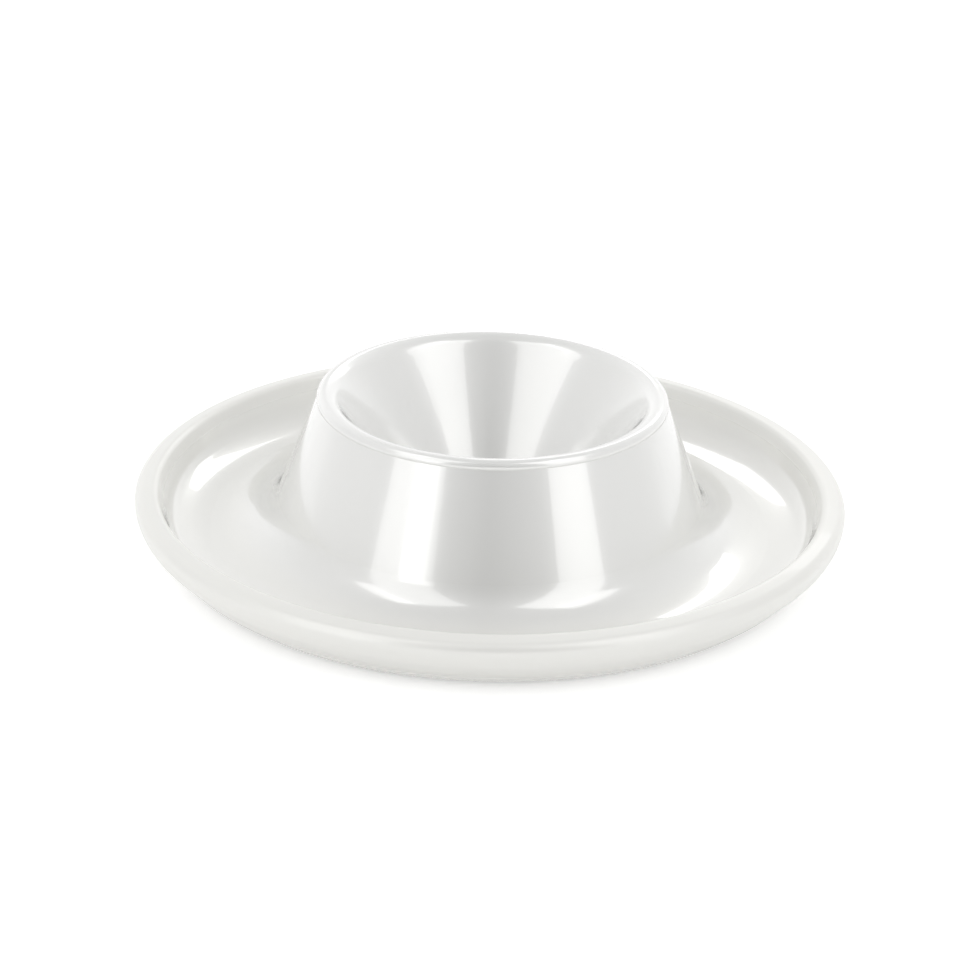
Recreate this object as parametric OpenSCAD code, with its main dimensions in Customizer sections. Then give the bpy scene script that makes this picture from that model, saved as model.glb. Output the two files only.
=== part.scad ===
// Egg cup with its own saucer: a ring-shaped trough round a flared cup, moulded in glossy white plastic.
// Every piece is a full turn about the vertical axis. The table is at z = 0 and the axis at x = y = 0.
// The moulding is parted at plain planes and cylinders, so that its zones meet face to face.

/* [Saucer] */
// Height of the widest circle above the table
edge_h = 7.4; // [7:0.1:8.4]
// Rounding of the rim's outer edge, above the widest circle
rim_round_r = 1.4; // [1:0.1:1.7]
// Slope of the rim's top, which falls from the shoulder to the outer edge, in degrees
rim_fall = 10; // [6:1:14]
// Rounding of the shoulder, where the rim's top turns down into the trough
shoulder_r = 1; // [0.8:0.1:1.2]
// Distance from the widest circle in to the centre of the shoulder's rounding
shoulder_in = 2.6; // [2.4:0.1:3]
// Rounding of the outer wall just below the widest circle and where it turns under
wall_round_r = 4; // [3:0.1:4.5]
// Distance from the widest circle in to where the wall meets the table
turn_in = 7.3; // [6.5:0.1:8]

/* [Trough] */
// Height of the trough's lowest circle above the table
floor_h = 2.6; // [2.4:0.1:3]
// Thickness of the moulding under the lowest circle
floor_t = 1.8; // [1.5:0.1:2]
// Radius of the fillet where the cup grows out of the trough
root_r = 6.5; // [5.5:0.25:7.5]
// Slope of the trough where that fillet ends and the inner curve begins, in degrees
apron_slope = 22; // [18:1:26]
// Radius of the trough's inner curve, seen in section
dish_r = 12.5; // [11:0.5:14]
// Width of the trough's outer half, from the lowest circle to the centre of the shoulder's rounding
trough_w = 10.1; // [9.6:0.1:11]
// Radius of the trough's outer curve, seen in section
trough_r = 19.5; // [18:0.5:22]
// Rounding at the foot of the steep wall under the shoulder
corner_r = 3; // [2.4:0.1:3.6]
// Slope of that steep wall, in degrees
wall_slope = 70; // [68:1:74]

/* [Cup] */
// Height of the lip above the table
cup_h = 23.4; // [21:0.1:27]
// Diameter of the circle along the top of the lip
mouth_d = 49.6; // [47:0.2:53]
// Rounding of the lip's outer bead
bead_r = 1; // [0.8:0.1:1.2]
// How far that bead stands out from the cup's flank
bead_proud = 0.1; // [0.05:0.05:0.3]
// Rounding of the lip's inner side, which rolls over into the well
roll_r = 2.6; // [2:0.1:3.2]
// Lean of the flank from upright, in degrees
flank_lean = 21; // [20:0.5:22]
// Thickness of the cup's outer wall
flank_t = 2.6; // [2:0.1:3]

/* [Well] */
// Slope of the well's wall from level, in degrees
well_slope = 54.5; // [52:0.5:57]
// Height of the well's floor above the table
well_floor_h = 3.4; // [3:0.1:4.5]
// Rounding between the well's wall and its floor
well_round_r = 9; // [7:0.5:10]
// Thickness of the well's wall and floor
well_t = 2.4; // [2:0.1:3]

/* [Joints between zones] */
// Depth of the level cut under the lip, below the top of the lip
lip_depth = 4.4; // [4:0.1:5.5]
// Height of the level cut under the saucer's rim
rim_cut_h = 6.2; // [5.8:0.1:7]
// Distance from the widest circle in to the upright cut between the trough's floor and the outer wall
wall_cut_in = 11; // [10:0.25:12]
// Width of the base ring's level face on the table
base_face_w = 2.4; // [2:0.1:3]

/* [Hidden] */

// Facets of each full turn. A round in a section takes a step for each step_deg of turn or step_l of length
turn_fn = 128;
step_deg = 7.5;
step_l = 1.2;

// Points of a section nearer than this are one point
same_gap = 0.001;

right_angle = 90;
body_white = [0.93, 0.93, 0.91];

// Lip: the bead outside and the larger roll inside share the circle along the top
mouth_r = mouth_d / 2;
lip_cut_h = cup_h - lip_depth;
bead_c = [mouth_r, cup_h - bead_r];
roll_c = [mouth_r, cup_h - roll_r];
well_top = roll_c + roll_r * [-sin(well_slope), cos(well_slope)];

// Root: the fillet leaves the flank's straight cone and carries it over into the trough's inner curve
root_c_h = floor_h + dish_r - (dish_r - root_r) * cos(apron_slope);
root_c = [flank_line_r(root_c_h) + root_r / cos(flank_lean), root_c_h];
root_top_h = root_c_h - root_r * sin(flank_lean);

// Trough's inner curve: it falls from the end of the fillet until it is level, at the lowest circle
dish_c = root_c + (dish_r - root_r) * [sin(apron_slope), cos(apron_slope)];

// Angle below level at which the bead's round comes out of the flank
bead_turn = acos((bead_r - bead_proud) * cos(flank_lean) / bead_r) - flank_lean;

// Rim: its shoulder stands across the trough, and its top falls from there to the round of the outer edge
edge_r = dish_c.x + trough_w + shoulder_in;
rim_round_c = [edge_r - rim_round_r, edge_h];
shoulder_rise = ((shoulder_in - rim_round_r) * sin(rim_fall) + rim_round_r - shoulder_r) / cos(rim_fall);
shoulder_c = [dish_c.x + trough_w, edge_h + shoulder_rise];
shoulder_foot = shoulder_c + shoulder_r * [-sin(wall_slope), cos(wall_slope)];

// Trough's outer curve, and the corner that joins it to the steep wall under the shoulder
trough_c = [dish_c.x, floor_h + trough_r];
wall_gap = trough_w * sin(wall_slope) + (trough_c.y - shoulder_c.y) * cos(wall_slope) - shoulder_r;
corner_slope = wall_slope - acos((wall_gap - corner_r) / (trough_r - corner_r));
corner_c = trough_c + (trough_r - corner_r) * [sin(corner_slope), -cos(corner_slope)];

// Underside of the trough's floor, which is also the top of the base ring
underside_h = floor_h - floor_t;

// Outer wall: two equal rounds with their common tangent between them
wall_round_c = [edge_r - wall_round_r, edge_h];
base_round_c = [edge_r - turn_in, wall_round_r];
wall_lean = atan2(turn_in - wall_round_r, edge_h - wall_round_r);

// Well: its wall is straight down to the round above its floor
well_round_h = well_floor_h + well_round_r;
well_foot = [well_line_r(well_round_h - well_round_r * cos(well_slope)),
             well_round_h - well_round_r * cos(well_slope)];
well_round_c = [well_foot.x - well_round_r * sin(well_slope), well_round_h];

// The two walls of the cup stand this far apart where the cut under the lip meets them
well_out_w = well_t / sin(well_slope);
flank_in_w = flank_t / cos(flank_lean);

// Radius of the flank's straight cone at a height
function flank_line_r(h) = mouth_r + bead_r - bead_proud + (bead_c.y - h) * tan(flank_lean);

// Radius of the well's straight wall at a height
function well_line_r(h) = well_top.x - (well_top.y - h) / tan(well_slope);

// Points along a round, from one angle to another, with both ends
function round_pts(c, r, a0, a1) =
    let (n = ceil(max(abs(a1 - a0) / step_deg, r * abs(a1 - a0) * PI / 180 / step_l, 1)))
    [for (i = [0 : n]) let (a = a0 + (a1 - a0) * i / n) c + r * [cos(a), sin(a)]];

// Radius of the steep wall under the shoulder at a height
function steep_wall_r(h) = shoulder_foot.x - (shoulder_foot.y - h) / tan(wall_slope);

// Angle at which a round's lower half passes a height, and a radius
function angle_at_h(c, r, h) = asin((h - c.y) / r);
function angle_at_r(c, r, x) = -acos((x - c.x) / r);

// The points of a closed section, without those that repeat the next one
function distinct(pts) =
    [for (i = [0 : len(pts) - 1]) if (norm(pts[i] - pts[(i + 1) % len(pts)]) > same_gap) pts[i]];

// Turns a section, given as points of radius and height, all the way round
module turned(pts) {
    rotate_extrude($fn = turn_fn)
        polygon(distinct(pts));
}

// Lip: bead outside, roll inside, level underneath
module cup_lip() {
    color(body_white)
        turned(concat(
            [[well_line_r(lip_cut_h), lip_cut_h]],
            round_pts(roll_c, roll_r, right_angle + well_slope, right_angle),
            round_pts(bead_c, bead_r, right_angle, -bead_turn),
            [[flank_line_r(lip_cut_h), lip_cut_h]]
        ));
}

// Outer wall of the cup: a straight cone from the cut under the lip down to the fillet at its root
module cup_wall() {
    color(body_white)
        turned([
            [flank_line_r(lip_cut_h) - flank_in_w, lip_cut_h],
            [flank_line_r(lip_cut_h), lip_cut_h],
            [flank_line_r(root_top_h), root_top_h],
            [flank_line_r(root_top_h) - flank_in_w, root_top_h]
        ]);
}

// Well that holds the egg, with its rounded floor
module egg_well() {
    outer_round_r = well_round_r + well_t;
    color(body_white)
        turned(concat(
            [[0, well_floor_h - well_t]],
            round_pts(well_round_c, outer_round_r, -right_angle, well_slope - right_angle),
            [[well_line_r(lip_cut_h) + well_out_w, lip_cut_h], [well_line_r(lip_cut_h), lip_cut_h]],
            round_pts(well_round_c, well_round_r, well_slope - right_angle, -right_angle),
            [[0, well_floor_h]]
        ));
}

// Trough's floor, from the fillet at the cup's root to the outer wall
module saucer_floor() {
    cut_r = edge_r - wall_cut_in;
    color(body_white)
        turned(concat(
            round_pts(root_c, root_r, 2 * right_angle + flank_lean, 3 * right_angle - apron_slope),
            round_pts(dish_c, dish_r, -right_angle - apron_slope, -right_angle),
            round_pts(trough_c, trough_r, -right_angle, angle_at_r(trough_c, trough_r, cut_r)),
            [[cut_r, underside_h], [flank_line_r(underside_h) - flank_in_w, underside_h],
             [flank_line_r(root_top_h) - flank_in_w, root_top_h]]
        ));
}

// Outer wall of the saucer, between the base ring and the rim
module saucer_wall() {
    cut_r = edge_r - wall_cut_in;
    color(body_white)
        turned(concat(
            [[cut_r, underside_h]],
            round_pts(base_round_c, wall_round_r,
                      angle_at_h(base_round_c, wall_round_r, underside_h), -wall_lean),
            round_pts(wall_round_c, wall_round_r, -wall_lean,
                      angle_at_h(wall_round_c, wall_round_r, rim_cut_h)),
            [[steep_wall_r(rim_cut_h), rim_cut_h]],
            round_pts(corner_c, corner_r, wall_slope - right_angle, corner_slope - right_angle),
            round_pts(trough_c, trough_r, corner_slope - right_angle,
                      angle_at_r(trough_c, trough_r, cut_r))
        ));
}

// Rim round the saucer, with its falling top and the upper part of the steep wall
module saucer_rim() {
    color(body_white)
        turned(concat(
            round_pts(wall_round_c, wall_round_r,
                      angle_at_h(wall_round_c, wall_round_r, rim_cut_h), 0),
            round_pts(rim_round_c, rim_round_r, 0, right_angle - rim_fall),
            round_pts(shoulder_c, shoulder_r, right_angle - rim_fall, right_angle + wall_slope),
            [[steep_wall_r(rim_cut_h), rim_cut_h]]
        ));
}

// Ring that the egg cup stands on, under the turned-in wall
module base_ring() {
    face_in_r = base_round_c.x - base_face_w;
    color(body_white)
        turned(concat(
            [[face_in_r, 0]],
            round_pts(base_round_c, wall_round_r, -right_angle,
                      angle_at_h(base_round_c, wall_round_r, underside_h)),
            [[face_in_r - underside_h, underside_h]]
        ));
}

cup_lip();
cup_wall();
egg_well();
saucer_floor();
saucer_wall();
saucer_rim();
base_ring();
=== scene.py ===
"""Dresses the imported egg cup, a flared cup in a ring-shaped trough, in pearly white plastic."""

import logging
import math
from dataclasses import dataclass, field
from enum import Enum

import bmesh
import bpy
from mathutils import Matrix, Vector


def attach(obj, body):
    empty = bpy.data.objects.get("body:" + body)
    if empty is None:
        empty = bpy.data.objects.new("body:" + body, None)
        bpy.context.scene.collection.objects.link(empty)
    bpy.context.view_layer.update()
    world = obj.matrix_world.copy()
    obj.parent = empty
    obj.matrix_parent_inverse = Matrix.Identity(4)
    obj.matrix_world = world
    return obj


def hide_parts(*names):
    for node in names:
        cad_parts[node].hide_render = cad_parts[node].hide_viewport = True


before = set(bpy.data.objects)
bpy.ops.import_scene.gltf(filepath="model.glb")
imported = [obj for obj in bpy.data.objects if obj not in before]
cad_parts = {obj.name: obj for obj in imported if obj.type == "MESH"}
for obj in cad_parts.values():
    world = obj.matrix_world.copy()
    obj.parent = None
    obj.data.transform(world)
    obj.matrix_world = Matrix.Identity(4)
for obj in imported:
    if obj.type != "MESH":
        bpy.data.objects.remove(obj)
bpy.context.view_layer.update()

log = logging.getLogger("egg_cup")

MM = 0.001
BODY = "root"
SLOT = "pearl_white_plastic"
PHOTO_WIDTH = 980
RIGHT_ANGLE = 90.0
FULL_TURN = 2.0 * math.pi


@dataclass(frozen=True)
class Spot:
    """A point of a section: its radius and its height, in millimetres."""

    r: float
    h: float

    def along(self, degrees: float, distance: float) -> "Spot":
        """The spot at a distance in a direction, counted from outward towards up."""
        turn = math.radians(degrees)
        return Spot(self.r + distance * math.cos(turn), self.h + distance * math.sin(turn))

    def world(self) -> Vector:
        """The same point in metres, in the plane in which sections are drawn."""
        return Vector((self.r * MM, 0.0, self.h * MM))


@dataclass(frozen=True)
class Fineness:
    """How finely the moulding is meshed: lengths in millimetres, the merge distance in metres."""

    turn_steps: int = 256
    round_steps: int = 2
    round_degrees: float = 2.5
    coarse_degrees: float = 7.5
    round_length: float = 0.6
    line_length: float = 1.2
    crease_degrees: float = 28.0
    merge_distance: float = 2e-7


class SectionPen:
    """Draws a half section edge by edge and turns it round the upright axis."""

    def __init__(self, start: Spot, fineness: Fineness) -> None:
        """Puts the pen down.

        Args:
            start: The section's first point.
            fineness: How finely rounds, lines and the turn are divided.
        """
        self.fineness = fineness
        self.mesh = bmesh.new()
        self.first = self.mesh.verts.new(start.world())
        self.tip = self.first

    def line(self, end: Spot) -> None:
        """Draws a straight line.

        Args:
            end: Where the line ends.
        """
        begin = self.tip.co.copy()
        reach = end.world() - begin
        steps = max(1, math.ceil(reach.length / (self.fineness.line_length * MM)))
        for step in range(1, steps + 1):
            grown = bmesh.ops.extrude_vert_indiv(self.mesh, verts=[self.tip])
            self.tip = grown["verts"][0]
            self.tip.co = begin + reach * (step / steps)

    def arc(self, centre: Spot, degrees: float) -> None:
        """Draws a round by swinging the pen about a centre.

        Args:
            centre: Middle of the round.
            degrees: How far the pen swings, from outward towards up.
        """
        fineness = self.fineness
        radius = (self.tip.co - centre.world()).length
        length = radius * math.radians(abs(degrees))
        fine_steps = min(
            math.ceil(abs(degrees) / fineness.round_degrees),
            math.ceil(length / (fineness.round_length * MM)),
        )
        coarse_steps = math.ceil(abs(degrees) / fineness.coarse_degrees)
        swung = bmesh.ops.spin(
            self.mesh,
            geom=[self.tip],
            cent=centre.world(),
            axis=(0.0, -1.0, 0.0),
            angle=math.radians(degrees),
            steps=max(fineness.round_steps, coarse_steps, fine_steps),
        )
        self.tip = swung["geom_last"][0]

    def close(self) -> None:
        """Joins the pen's end to its beginning."""
        if (self.tip.co - self.first.co).length > self.fineness.merge_distance:
            self.line(Spot(self.first.co.x / MM, self.first.co.z / MM))
        self.merge()

    def merge(self) -> None:
        """Merges the corners that lie on one another."""
        bmesh.ops.remove_doubles(
            self.mesh, verts=self.mesh.verts[:], dist=self.fineness.merge_distance
        )

    def turned(self, name: str) -> bpy.types.Object:
        """Turns the section all the way round and makes the piece of it.

        Args:
            name: The piece's name.

        Returns:
            The piece, with soft faces, crisp edges at its corners and its seam and poles closed.
        """
        bmesh.ops.spin(
            self.mesh,
            geom=self.mesh.verts[:] + self.mesh.edges[:],
            cent=(0.0, 0.0, 0.0),
            axis=(0.0, 0.0, 1.0),
            angle=FULL_TURN,
            steps=self.fineness.turn_steps,
            use_merge=True,
        )
        self.merge()
        bmesh.ops.recalc_face_normals(self.mesh, faces=self.mesh.faces[:])
        crease = math.radians(self.fineness.crease_degrees)
        for face in self.mesh.faces:
            face.smooth = True
        for edge in self.mesh.edges:
            edge.smooth = edge.is_manifold and edge.calc_face_angle() < crease
        return placed(name, self.mesh)


def placed(name: str, mesh: bmesh.types.BMesh) -> bpy.types.Object:
    """Makes an object of a mesh and puts it in the scene, at the origin.

    Args:
        name: The object's name.
        mesh: Its mesh, which is freed.

    Returns:
        The new object.
    """
    data = bpy.data.meshes.new(name)
    mesh.to_mesh(data)
    mesh.free()
    made = bpy.data.objects.new(name, data)
    bpy.context.scene.collection.objects.link(made)
    return made


class Shade(Enum):
    """Colours of the moulding and of the paper under it, as linear red, green and blue."""

    PEARL = (0.90, 0.90, 0.885)
    WARM_PEARL = (0.90, 0.897, 0.865)
    SCUFF = (0.66, 0.655, 0.63)
    PAPER = (0.90, 0.90, 0.90)
    PAPER_FIBRE = (0.915, 0.915, 0.915)
    WHITE = (1.0, 1.0, 1.0)

    @property
    def rgba(self) -> tuple[float, float, float, float]:
        """The colour with full opacity."""
        return (*self.value, 1.0)


class Blend(Enum):
    """Kinds of blend: the mix node's data type, its two inputs that are mixed and its output."""

    NUMBERS = ("FLOAT", 2, 3, 0)
    COLOURS = ("RGBA", 6, 7, 2)


@dataclass(frozen=True)
class Grain:
    """A noise: its waves in a metre, how many finer layers it has and how strong they are."""

    scale: float
    detail: float = 2.0
    roughness: float = 0.5


class NodeBench:
    """Places and joins shader nodes in one tree."""

    def __init__(self, tree: bpy.types.NodeTree) -> None:
        """Takes a tree and empties it.

        Args:
            tree: The node tree to work in.
        """
        self.tree = tree
        tree.nodes.clear()

    def add(
        self, kind: str, inputs: dict[str | int, object] | None = None, **settings: object
    ) -> bpy.types.Node:
        """Adds a node.

        Args:
            kind: The node's type.
            inputs: What its inputs take, by name or by number: an output or a value.
            settings: Values of the node's own properties.

        Returns:
            The new node.
        """
        node = self.tree.nodes.new(kind)
        for key, value in settings.items():
            setattr(node, key, value)
        for key, value in (inputs or {}).items():
            self.feed(node.inputs[key], value)
        return node

    def feed(self, socket: bpy.types.NodeSocket, value: object) -> None:
        """Joins an output to an input, or gives the input a value."""
        if isinstance(value, bpy.types.NodeSocket):
            self.tree.links.new(value, socket)
        else:
            socket.default_value = value

    def reckon(
        self, operation: str, *values: object, clamp: bool = False
    ) -> bpy.types.NodeSocket:
        """Adds a calculation.

        Args:
            operation: Name of the calculation.
            values: Its numbers or outputs, in their order.
            clamp: Whether the result is kept between 0 and 1.

        Returns:
            The result's output.
        """
        node = self.add(
            "ShaderNodeMath", dict(enumerate(values)), operation=operation, use_clamp=clamp
        )
        return node.outputs[0]

    def around(
        self, noise: bpy.types.NodeSocket, middle: float, width: float
    ) -> bpy.types.NodeSocket:
        """Spreads a noise between 0 and 1 over a range.

        Args:
            noise: The noise's output.
            middle: Middle of the range.
            width: The range's whole width.

        Returns:
            The spread noise's output.
        """
        return self.reckon("MULTIPLY_ADD", noise, width, middle - 0.5 * width)

    def ramp(
        self, value: bpy.types.NodeSocket, low: float, high: float
    ) -> bpy.types.NodeSocket:
        """Adds a smooth rise from 0 to 1 between two values.

        Args:
            value: The output that is read.
            low: Value at which the rise starts.
            high: Value at which it ends.

        Returns:
            The rise's output.
        """
        node = self.add(
            "ShaderNodeMapRange",
            {"Value": value, "From Min": low, "From Max": high},
            interpolation_type="SMOOTHSTEP",
        )
        return node.outputs["Result"]

    def mixed(
        self,
        share: bpy.types.NodeSocket,
        first: object,
        second: object,
        blend: Blend = Blend.COLOURS,
    ) -> bpy.types.NodeSocket:
        """Adds a blend of two colours or two numbers.

        Args:
            share: Share of the second one.
            first: A value or an output.
            second: A value or an output.
            blend: What is blended.

        Returns:
            The blend's output.
        """
        data_type, first_input, second_input, output = blend.value
        node = self.add(
            "ShaderNodeMix",
            {0: share, first_input: first, second_input: second},
            data_type=data_type,
        )
        return node.outputs[output]

    def noise(self, place: bpy.types.NodeSocket, grain: Grain) -> bpy.types.NodeSocket:
        """Adds a noise.

        Args:
            place: Output of the place at which it is read.
            grain: The noise's look.

        Returns:
            The noise's output, from 0 to 1.
        """
        node = self.add(
            "ShaderNodeTexNoise",
            {
                "Vector": place,
                "Scale": grain.scale,
                "Detail": grain.detail,
                "Roughness": grain.roughness,
            },
            noise_dimensions="3D",
        )
        return node.outputs["Fac"]


class EffectBench(NodeBench):
    """A bench for a node group that reads the place on the object and puts out an effect."""

    def __init__(self, name: str, outputs: dict[str, str]) -> None:
        """Makes the group with its sockets.

        Args:
            name: The group's name.
            outputs: The sockets that it puts out, each name with its type.
        """
        tree = bpy.data.node_groups.new(name, "ShaderNodeTree")
        tree.interface.new_socket("Place", in_out="INPUT", socket_type="NodeSocketVector")
        for label, kind in outputs.items():
            tree.interface.new_socket(label, in_out="OUTPUT", socket_type=kind)
        super().__init__(tree)
        self.place = self.add("NodeGroupInput").outputs["Place"]
        split = self.add("ShaderNodeSeparateXYZ", {0: self.place})
        across = self.reckon("POWER", split.outputs["X"], 2.0)
        along = self.reckon("POWER", split.outputs["Y"], 2.0)
        self.radius = self.reckon("SQRT", self.reckon("ADD", across, along))
        self.height = split.outputs["Z"]


@dataclass(frozen=True)
class PearlPlastic:
    """Plastic with a pearly pigment: polished inside, more satin on the rim and outside."""

    name: str = SLOT
    pearl: Shade = Shade.PEARL
    saucer_pearl: Shade = Shade.WARM_PEARL
    scuff: Shade = Shade.SCUFF
    ior: float = 1.5
    roughness: float = 0.20
    roughness_spread: float = 0.03
    pearl_strength: float = 0.20
    pearl_spread: float = 0.06
    cloud_spread: float = 0.04
    coat_roughness: float = 0.03
    coat_weight: float = 1.0
    coat_ior: float = 1.8
    cup_radius: float = 33.0 * MM
    saucer_radius: float = 39.0 * MM
    satin_start: float = 48.0 * MM
    satin_end: float = 49.4 * MM
    satin_coat: float = 0.25
    satin_roughness: float = 0.22
    scuff_height: float = 0.25 * MM
    scuff_start: float = 0.35
    scuff_full: float = 0.65
    scuff_roughness: float = 0.25
    peel_depth: float = 0.004 * MM
    peel_strength: float = 1.0
    mottle: Grain = Grain(55.0, 4.0, 0.55)
    haze: Grain = Grain(140.0, 3.0)
    peel: Grain = Grain(420.0)
    rub: Grain = Grain(900.0, 6.0)

    def flow_group(self) -> bpy.types.NodeTree:
        """Makes the group that draws the pigment's flow in the moulding.

        Returns:
            A group that puts out the body's colour and the pearl's strength.
        """
        bench = EffectBench(
            "pigment_flow", {"Colour": "NodeSocketColor", "Pearl": "NodeSocketFloat"}
        )
        outward = bench.ramp(bench.radius, self.cup_radius, self.saucer_radius)
        body = bench.mixed(outward, self.pearl.rgba, self.saucer_pearl.rgba)
        mottle = bench.noise(bench.place, self.mottle)
        cloud = bench.around(mottle, 1.0, self.cloud_spread)
        shaded = bench.add("ShaderNodeVectorMath", {0: body, "Scale": cloud}, operation="SCALE")
        pearl = bench.around(mottle, self.pearl_strength, self.pearl_spread)
        bench.add("NodeGroupOutput", {"Colour": shaded.outputs["Vector"], "Pearl": pearl})
        return bench.tree

    def wear_group(self) -> bpy.types.NodeTree:
        """Makes the group that draws the polish, the satin outside and the scuffed base.

        Returns:
            A group that puts out the surface's haze, its scuffing, its height and its coat.
        """
        names = ("Haze", "Scuff", "Height", "Coat")
        bench = EffectBench("polish_and_scuffs", dict.fromkeys(names, "NodeSocketFloat"))
        low = bench.ramp(bench.height, self.scuff_height, 0.0)
        rub = bench.noise(bench.place, self.rub)
        scuff = bench.reckon("MULTIPLY", low, bench.ramp(rub, self.scuff_start, self.scuff_full))
        satin = bench.ramp(bench.radius, self.satin_start, self.satin_end)
        haze = bench.noise(bench.place, self.haze)
        polish = bench.around(haze, self.roughness, self.roughness_spread)
        softened = bench.reckon("MULTIPLY_ADD", satin, self.satin_roughness, polish)
        dull = bench.reckon("MULTIPLY_ADD", scuff, self.scuff_roughness, softened)
        coat_loss = self.satin_coat - self.coat_weight
        coat = bench.reckon("MULTIPLY_ADD", satin, coat_loss, self.coat_weight)
        peel = bench.noise(bench.place, self.peel)
        bench.add("NodeGroupOutput", dict(zip(names, (dull, scuff, peel, coat))))
        return bench.tree

    def material(self) -> bpy.types.Material:
        """Makes the finish.

        Returns:
            The material that every piece of the moulding takes.
        """
        made = bpy.data.materials.new(self.name)
        made.use_nodes = True
        bench = NodeBench(made.node_tree)
        place = bench.add("ShaderNodeTexCoord").outputs["Object"]
        flow, wear = (
            bench.add("ShaderNodeGroup", {"Place": place}, node_tree=group).outputs
            for group in (self.flow_group(), self.wear_group())
        )
        bump = bench.add(
            "ShaderNodeBump",
            {
                "Strength": self.peel_strength,
                "Distance": self.peel_depth,
                "Height": wear["Height"],
            },
        )
        shader = bench.add(
            "ShaderNodeBsdfPrincipled",
            {
                "Base Color": bench.mixed(wear["Scuff"], flow["Colour"], self.scuff.rgba),
                "Metallic": flow["Pearl"],
                "Roughness": wear["Haze"],
                "IOR": self.ior,
                "Coat Weight": wear["Coat"],
                "Coat Roughness": self.coat_roughness,
                "Coat IOR": self.coat_ior,
                "Normal": bump.outputs["Normal"],
            },
        )
        bench.add("ShaderNodeOutputMaterial", {"Surface": shader.outputs["BSDF"]})
        return made


@dataclass(frozen=True)
class PaperFloor:
    """White paper that the egg cup stands on, shown white where no shadow falls."""

    size: float = 6.0
    lift: float = 0.36
    mirrored_lift: float = 0.30
    fibre: Grain = Grain(300.0)

    def lay(self) -> None:
        mesh = bmesh.new()
        bmesh.ops.create_grid(mesh, x_segments=2, y_segments=2, size=self.size / 2)
        floor = placed("floor", mesh)
        floor.data.materials.append(self.material())

    def material(self) -> bpy.types.Material:
        """Makes the paper.

        Returns:
            White paper that adds a little light of its own where it is seen or mirrored.
        """
        made = bpy.data.materials.new("floor_paper")
        made.use_nodes = True
        bench = NodeBench(made.node_tree)
        place = bench.add("ShaderNodeTexCoord").outputs["Object"]
        fibre = bench.noise(place, self.fibre)
        tone = bench.mixed(fibre, Shade.PAPER.rgba, Shade.PAPER_FIBRE.rgba)
        paper = bench.add("ShaderNodeBsdfDiffuse", {"Color": tone})
        path = bench.add("ShaderNodeLightPath").outputs
        seen = bench.reckon("MULTIPLY", path["Is Camera Ray"], self.lift)
        mirrored = bench.reckon("MULTIPLY", path["Is Glossy Ray"], self.mirrored_lift)
        glow = bench.add(
            "ShaderNodeEmission",
            {"Color": Shade.WHITE.rgba, "Strength": bench.reckon("ADD", seen, mirrored)},
        )
        both = bench.add("ShaderNodeAddShader", {0: paper.outputs[0], 1: glow.outputs[0]})
        bench.add("ShaderNodeOutputMaterial", {"Surface": both.outputs[0]})
        return made


@dataclass(frozen=True)
class Softbox:
    """A flat studio light that faces the egg cup. Angles are in degrees, lengths in metres."""

    name: str
    azimuth: float
    elevation: float
    width: float
    height: float
    brightness: float
    distance: float = 0.8
    roll: float = 0.0
    aim: tuple[float, float, float] = (0.0, 0.0, 0.012)

    def hang(self) -> None:
        """Hangs the light, turned to face what it lights."""
        turn, rise = math.radians(self.azimuth), math.radians(self.elevation)
        level = math.cos(rise)
        away = Vector((math.sin(turn) * level, -math.cos(turn) * level, math.sin(rise)))
        data = bpy.data.lights.new(self.name, "AREA")
        data.shape = "RECTANGLE"
        data.size = self.width
        data.size_y = self.height
        data.energy = self.brightness * math.pi * self.width * self.height
        lamp = bpy.data.objects.new(self.name, data)
        bpy.context.scene.collection.objects.link(lamp)
        lamp.location = Vector(self.aim) + away * self.distance
        facing = (-away).to_track_quat("-Z", "Y").to_matrix()
        spin = Matrix.Rotation(math.radians(self.roll), 3, "Z")
        lamp.rotation_euler = (facing @ spin).to_euler()
        lamp.visible_camera = False


@dataclass(frozen=True)
class Room:
    """What surrounds the floor: a brightness for each side and soft passages between them."""

    front: float = 0.04
    back: float = 1.28
    left: float = 1.04
    right: float = 1.00
    top: float = 0.50
    seen: float = 1.0
    fall: float = 2.0
    side_fall: float = 1.0

    def surround(self) -> None:
        """Makes the room, pale and even where the camera looks straight at it."""
        world = bpy.data.worlds.new("room")
        world.use_nodes = True
        bench = NodeBench(world.node_tree)
        way_out = bench.add("ShaderNodeTexCoord").outputs["Generated"]
        split = bench.add("ShaderNodeSeparateXYZ", {0: way_out})
        sides = (
            ("X", 1.0, self.right, self.side_fall),
            ("X", -1.0, self.left, self.side_fall),
            ("Y", 1.0, self.back, self.fall),
            ("Y", -1.0, self.front, self.fall),
            ("Z", 1.0, self.top, self.fall),
        )
        total = 0.0
        for axis, way, value, fall in sides:
            facing = bench.reckon("MULTIPLY", split.outputs[axis], way, clamp=True)
            share = bench.reckon("MULTIPLY", bench.reckon("POWER", facing, fall), value)
            total = bench.reckon("ADD", share, total)
        path = bench.add("ShaderNodeLightPath").outputs
        strength = bench.mixed(path["Is Camera Ray"], total, self.seen, Blend.NUMBERS)
        light = bench.add("ShaderNodeBackground", {"Strength": strength})
        bench.add("ShaderNodeOutputWorld", {"Surface": light.outputs[0]})
        bpy.context.scene.world = world


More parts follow.
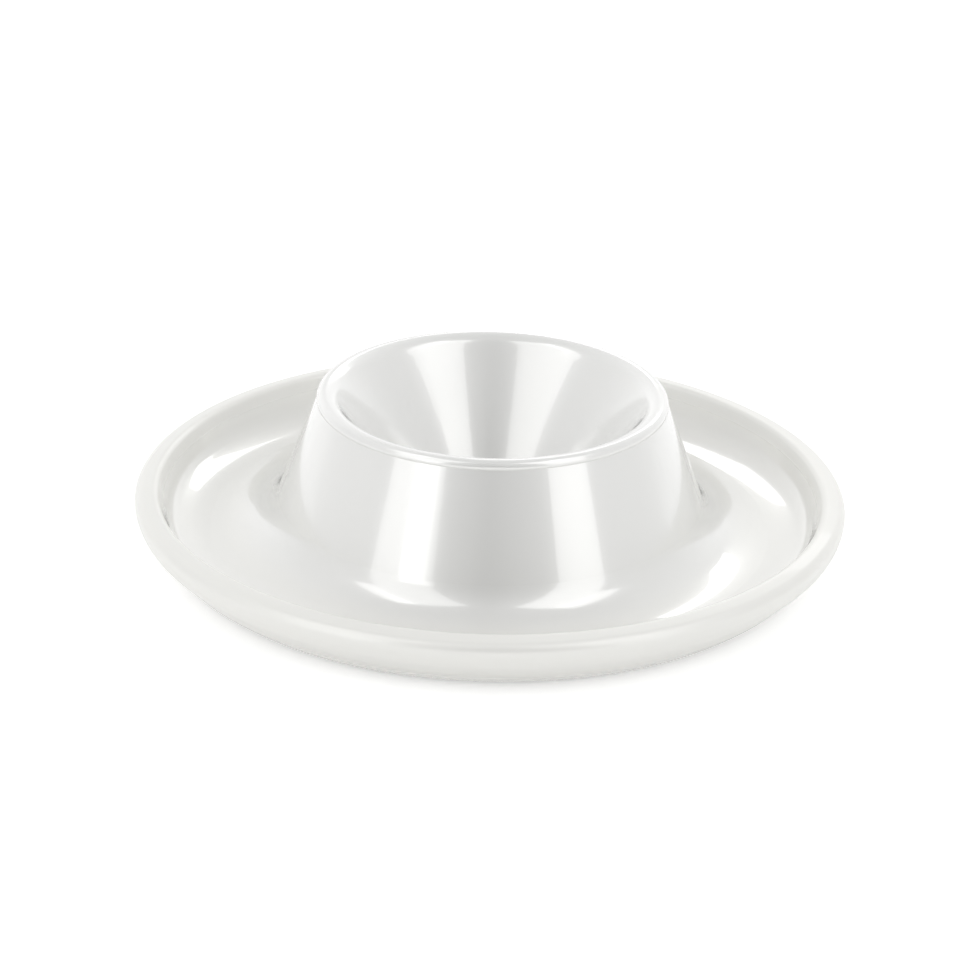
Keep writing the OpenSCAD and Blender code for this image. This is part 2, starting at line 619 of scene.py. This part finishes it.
@dataclass(frozen=True)
class PhotoView:
    """The camera, as it stood for the photograph. Lengths are in millimetres."""

    elevation: float = 24.25
    roll: float = 1.5
    distance: float = 420.0
    aside: float = -0.05
    above: float = -0.26
    focal_pixels: float = 2823.0
    aim_height: float = 7.9
    sensor: float = 36.0

    def stand(self) -> None:
        """Sets the scene's camera up."""
        rise = math.radians(self.elevation)
        ahead = Vector((0.0, math.cos(rise), -math.sin(rise)))
        spin = Matrix.Rotation(math.radians(-self.roll), 3, ahead)
        right = spin @ Vector((1.0, 0.0, 0.0))
        up = spin @ Vector((0.0, math.sin(rise), math.cos(rise)))
        data = bpy.data.cameras.new("camera")
        data.sensor_width = self.sensor
        data.lens = self.focal_pixels * self.sensor / PHOTO_WIDTH
        camera = bpy.data.objects.new("camera", data)
        bpy.context.scene.collection.objects.link(camera)
        place = right * self.aside + up * self.above - ahead * self.distance
        camera.location = (place + Vector((0.0, 0.0, self.aim_height))) * MM
        camera.rotation_euler = Matrix((right, up, -ahead)).transposed().to_euler()
        bpy.context.scene.camera = camera


@dataclass
class Moulding:
    """What every zone of the moulding shares: its finish and how finely it is meshed."""

    finish: bpy.types.Material
    fineness: Fineness = field(default_factory=Fineness)

    def dress(self, pen: SectionPen, node: str) -> bpy.types.Object:
        """Turns a section into a piece, dresses it and puts it in its node's place.

        Args:
            pen: The pen that drew the section.
            node: The CAD node that the piece stands for.

        Returns:
            The dressed piece.
        """
        piece = pen.turned(f"{node}_moulded")
        piece.data.materials.append(self.finish)
        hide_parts(node)
        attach(piece, BODY)
        log.info("%s: %d faces", piece.name, len(piece.data.polygons))
        return piece


@dataclass
class Cup(Moulding):
    """The flared cup: its lip, its outer wall and the well inside. Lengths in millimetres."""

    cup_h: float = 23.4
    mouth_d: float = 49.6
    bead_r: float = 1.0
    bead_proud: float = 0.1
    roll_r: float = 2.6
    flank_lean: float = 21.0
    flank_t: float = 2.6
    well_slope: float = 54.5
    well_floor_h: float = 3.4
    well_round_r: float = 9.0
    well_t: float = 2.4
    lip_depth: float = 4.4
    root_r: float = 6.5
    apron_slope: float = 22.0
    dish_r: float = 12.5
    floor_h: float = 2.6

    def __post_init__(self) -> None:
        """Works out where the rounds stand."""
        mouth_r = self.mouth_d / 2
        self.lip_cut_h = self.cup_h - self.lip_depth
        self.bead_c = Spot(mouth_r, self.cup_h - self.bead_r)
        self.roll_c = Spot(mouth_r, self.cup_h - self.roll_r)
        self.well_top = self.roll_c.along(RIGHT_ANGLE + self.well_slope, self.roll_r)
        lean = math.radians(self.flank_lean)
        bead_share = (self.bead_r - self.bead_proud) * math.cos(lean) / self.bead_r
        self.bead_turn = math.degrees(math.acos(bead_share)) - self.flank_lean
        reach = self.dish_r - self.root_r
        rise = reach * math.cos(math.radians(self.apron_slope))
        root_c_h = self.floor_h + self.dish_r - rise
        root_c_r = self.flank_line_r(root_c_h) + self.root_r / math.cos(lean)
        self.root_c = Spot(root_c_r, root_c_h)
        self.root_top = self.root_c.along(2 * RIGHT_ANGLE + self.flank_lean, self.root_r)
        self.dish_c = self.root_c.along(RIGHT_ANGLE - self.apron_slope, reach)
        self.flank_in = self.flank_t / math.cos(lean)

    def flank_line_r(self, height: float) -> float:
        """Radius of the flank's straight cone at a height."""
        lean = math.tan(math.radians(self.flank_lean))
        bead_out_r = self.mouth_d / 2 + self.bead_r - self.bead_proud
        return bead_out_r + (self.bead_c.h - height) * lean

    def well_line_r(self, height: float) -> float:
        """Radius of the well's straight wall at a height."""
        slope = math.tan(math.radians(self.well_slope))
        return self.well_top.r - (self.well_top.h - height) / slope

    def inner_flank(self, height: float) -> Spot:
        """The spot on the inner side of the cup's outer wall at a height."""
        return Spot(self.flank_line_r(height) - self.flank_in, height)

    def lip(self) -> bpy.types.Object:
        """Makes the rounded lip: a bead outside, a larger roll inside, level underneath."""
        pen = SectionPen(Spot(self.well_line_r(self.lip_cut_h), self.lip_cut_h), self.fineness)
        pen.line(self.well_top)
        pen.arc(self.roll_c, -self.well_slope)
        pen.arc(self.bead_c, -RIGHT_ANGLE - self.bead_turn)
        pen.line(Spot(self.flank_line_r(self.lip_cut_h), self.lip_cut_h))
        pen.close()
        return self.dress(pen, "cup_lip")

    def wall(self) -> bpy.types.Object:
        """Makes the cup's outer wall, from the cut under the lip down to its root."""
        pen = SectionPen(self.inner_flank(self.lip_cut_h), self.fineness)
        pen.line(Spot(self.flank_line_r(self.lip_cut_h), self.lip_cut_h))
        pen.line(self.root_top)
        pen.line(self.inner_flank(self.root_top.h))
        pen.close()
        return self.dress(pen, "cup_wall")

    def well(self) -> bpy.types.Object:
        """Makes the conical well with its rounded floor."""
        slope = math.radians(self.well_slope)
        foot_h = self.well_floor_h + self.well_round_r - self.well_round_r * math.cos(slope)
        foot = Spot(self.well_line_r(foot_h), foot_h)
        round_c = foot.along(RIGHT_ANGLE + self.well_slope, self.well_round_r)
        top_r = self.well_line_r(self.lip_cut_h)
        out_w = self.well_t / math.sin(slope)
        under_h = self.well_floor_h - self.well_t
        pen = SectionPen(Spot(0.0, under_h), self.fineness)
        pen.line(Spot(round_c.r, under_h))
        pen.arc(round_c, self.well_slope)
        pen.line(Spot(top_r + out_w, self.lip_cut_h))
        pen.line(Spot(top_r, self.lip_cut_h))
        pen.line(foot)
        pen.arc(round_c, -self.well_slope)
        pen.line(Spot(0.0, self.well_floor_h))
        return self.dress(pen, "egg_well")


@dataclass
class Saucer(Moulding):
    """The trough round the cup, its rim and the ring under it. Lengths in millimetres."""

    cup: Cup = field(kw_only=True)
    edge_h: float = 7.4
    rim_round_r: float = 1.4
    rim_fall: float = 10.0
    shoulder_r: float = 1.0
    shoulder_in: float = 2.58
    wall_round_r: float = 4.0
    turn_in: float = 7.3
    floor_t: float = 1.8
    trough_w: float = 10.1
    trough_r: float = 19.5
    corner_r: float = 3.0
    wall_slope: float = 70.0
    rim_cut_h: float = 6.2
    wall_cut_in: float = 11.0
    base_face_w: float = 2.4

    def __post_init__(self) -> None:
        """Works out where the rounds stand."""
        floor_h, dish_c = self.cup.floor_h, self.cup.dish_c
        fall, wall = math.radians(self.rim_fall), math.radians(self.wall_slope)
        self.edge_r = dish_c.r + self.trough_w + self.shoulder_in
        self.rim_round_c = Spot(self.edge_r - self.rim_round_r, self.edge_h)
        top_w = self.shoulder_in - self.rim_round_r
        drop = top_w * math.sin(fall) + self.rim_round_r - self.shoulder_r
        self.shoulder_c = Spot(dish_c.r + self.trough_w, self.edge_h + drop / math.cos(fall))
        self.shoulder_foot = self.shoulder_c.along(RIGHT_ANGLE + self.wall_slope, self.shoulder_r)
        self.trough_c = Spot(dish_c.r, floor_h + self.trough_r)
        rise = self.trough_c.h - self.shoulder_c.h
        gap = self.trough_w * math.sin(wall) + rise * math.cos(wall) - self.shoulder_r
        inner_r = self.trough_r - self.corner_r
        corner_gap = math.degrees(math.acos((gap - self.corner_r) / inner_r))
        self.corner_slope = self.wall_slope - corner_gap
        self.corner_c = self.trough_c.along(self.corner_slope - RIGHT_ANGLE, inner_r)
        self.underside_h = floor_h - self.floor_t
        self.wall_round_c = Spot(self.edge_r - self.wall_round_r, self.edge_h)
        self.base_round_c = Spot(self.edge_r - self.turn_in, self.wall_round_r)
        inward, upward = self.turn_in - self.wall_round_r, self.edge_h - self.wall_round_r
        self.wall_lean = math.degrees(math.atan2(inward, upward))
        self.cut_r = self.edge_r - self.wall_cut_in
        cut_share = (self.cut_r - self.trough_c.r) / self.trough_r
        self.cut_turn = -math.degrees(math.acos(cut_share))
        self.outer_turn = self.wall_turn(self.wall_round_c, self.rim_cut_h)
        self.base_turn = self.wall_turn(self.base_round_c, self.underside_h)

    def wall_turn(self, centre: Spot, height: float) -> float:
        """Angle, in degrees, at which the outer wall's round passes a height."""
        return math.degrees(math.asin((height - centre.h) / self.wall_round_r))

    def steep_wall(self, height: float) -> Spot:
        """The spot on the steep wall under the shoulder at a height."""
        slope = math.tan(math.radians(self.wall_slope))
        inward = (self.shoulder_foot.h - height) / slope
        return Spot(self.shoulder_foot.r - inward, height)

    def floor(self) -> bpy.types.Object:
        """Makes the trough's floor, with the fillet at the cup's root."""
        cup = self.cup
        pen = SectionPen(cup.root_top, self.fineness)
        pen.arc(cup.root_c, RIGHT_ANGLE - cup.apron_slope - cup.flank_lean)
        pen.arc(cup.dish_c, cup.apron_slope)
        pen.arc(self.trough_c, self.cut_turn + RIGHT_ANGLE)
        pen.line(Spot(self.cut_r, self.underside_h))
        pen.line(cup.inner_flank(self.underside_h))
        pen.line(cup.inner_flank(cup.root_top.h))
        pen.close()
        return self.dress(pen, "saucer_floor")

    def wall(self) -> bpy.types.Object:
        """Makes the saucer's outer wall, between the base ring and the rim."""
        pen = SectionPen(Spot(self.cut_r, self.underside_h), self.fineness)
        pen.line(self.base_round_c.along(self.base_turn, self.wall_round_r))
        pen.arc(self.base_round_c, -self.wall_lean - self.base_turn)
        pen.line(self.wall_round_c.along(-self.wall_lean, self.wall_round_r))
        pen.arc(self.wall_round_c, self.outer_turn + self.wall_lean)
        pen.line(self.steep_wall(self.rim_cut_h))
        pen.line(self.corner_c.along(self.wall_slope - RIGHT_ANGLE, self.corner_r))
        pen.arc(self.corner_c, self.corner_slope - self.wall_slope)
        pen.arc(self.trough_c, self.cut_turn - self.corner_slope + RIGHT_ANGLE)
        pen.close()
        return self.dress(pen, "saucer_wall")

    def rim(self) -> bpy.types.Object:
        """Makes the rim, with its falling top and the upper part of the steep wall."""
        start = self.wall_round_c.along(self.outer_turn, self.wall_round_r)
        pen = SectionPen(start, self.fineness)
        pen.arc(self.wall_round_c, -self.outer_turn)
        pen.arc(self.rim_round_c, RIGHT_ANGLE - self.rim_fall)
        pen.line(self.shoulder_c.along(RIGHT_ANGLE - self.rim_fall, self.shoulder_r))
        pen.arc(self.shoulder_c, self.rim_fall + self.wall_slope)
        pen.line(self.steep_wall(self.rim_cut_h))
        pen.close()
        return self.dress(pen, "saucer_rim")

    def base(self) -> bpy.types.Object:
        """Makes the ring that the egg cup stands on."""
        face_in_r = self.base_round_c.r - self.base_face_w
        pen = SectionPen(Spot(face_in_r, 0.0), self.fineness)
        pen.line(Spot(self.base_round_c.r, 0.0))
        pen.arc(self.base_round_c, self.base_turn + RIGHT_ANGLE)
        pen.line(Spot(face_in_r - self.underside_h, self.underside_h))
        pen.close()
        return self.dress(pen, "base_ring")


@dataclass(frozen=True)
class Studio:
    """The floor, the room, the lights and the camera."""

    softboxes: tuple[Softbox, ...] = (
        Softbox("left_panel", azimuth=-46.5, elevation=34.0,
                width=0.444, height=1.08, brightness=0.84),
        Softbox("left_low_panel", azimuth=-37.0, elevation=12.5,
                width=0.247, height=0.355, brightness=0.8),
        Softbox("left_high_panel", azimuth=-73.5, elevation=54.0,
                width=0.14, height=0.4, brightness=1.0),
        Softbox("right_panel", azimuth=48.5, elevation=34.0,
                width=0.368, height=1.08, brightness=1.03),
        Softbox("right_high_panel", azimuth=73.0, elevation=54.0,
                width=0.148, height=0.4, brightness=1.0),
        Softbox("back_strip", azimuth=164.5, elevation=32.5,
                width=0.158, height=0.042, brightness=1.9,
                distance=0.31, roll=3.5, aim=(0.0, 0.0, 0.0)),
    )

    def set_up(self) -> None:
        """Lays the floor, hangs the lights and sets the camera up."""
        PaperFloor().lay()
        Room().surround()
        for softbox in self.softboxes:
            softbox.hang()
        PhotoView().stand()
        bpy.context.scene.view_settings.view_transform = "Standard"


def main() -> None:
    """Builds the egg cup's pieces and the studio."""
    logging.basicConfig(level=logging.INFO, format="%(name)s: %(message)s")
    finish = PearlPlastic().material()
    cup = Cup(finish)
    saucer = Saucer(finish, cup=cup)
    pieces = [
        cup.lip(), cup.wall(), cup.well(),
        saucer.floor(), saucer.wall(), saucer.rim(), saucer.base(),
    ]
    log.info("%d pieces", len(pieces))
    Studio().set_up()


if __name__ == "__main__":
    main()
